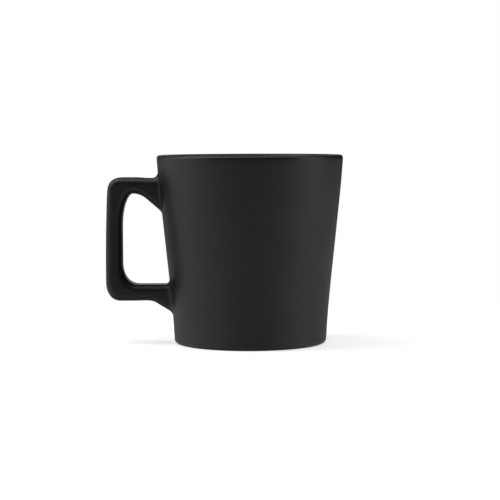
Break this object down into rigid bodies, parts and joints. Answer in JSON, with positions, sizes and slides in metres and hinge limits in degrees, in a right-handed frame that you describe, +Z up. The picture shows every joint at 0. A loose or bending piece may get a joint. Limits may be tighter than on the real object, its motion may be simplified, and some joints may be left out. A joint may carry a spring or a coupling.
{
  "type": "ceramic mug",
  "caption": "Tapered stoneware mug with a satin black glaze and a squared strap handle, for hot drinks.",
  "frame": {"origin": "centre of the foot ring's flat underside, on the cup's axis and on the surface the mug stands on", "axes": "+Z up along the cup's axis, -X from the cup's axis towards the handle, +Y across the handle's width"},
  "size_m": [0.1159, 0.0908, 0.092],
  "materials": {
    "clay": "unglazed fired stoneware",
    "slip": "unglazed fired slip",
    "liner_glaze": "satin black glaze",
    "outer_glaze": "satin black glaze",
    "handle_glaze": "satin black glaze",
    "base_glaze": "satin black glaze"
  },
  "bodies": {
    "root": {"cup_body": "clay", "handle": "clay", "upper_luting_slip": "slip", "lower_luting_slip": "slip", "liner_glaze": "liner_glaze", "outer_glaze": "outer_glaze", "handle_glaze": "handle_glaze", "base_glaze": "base_glaze"}
  },
  "joints": []
}
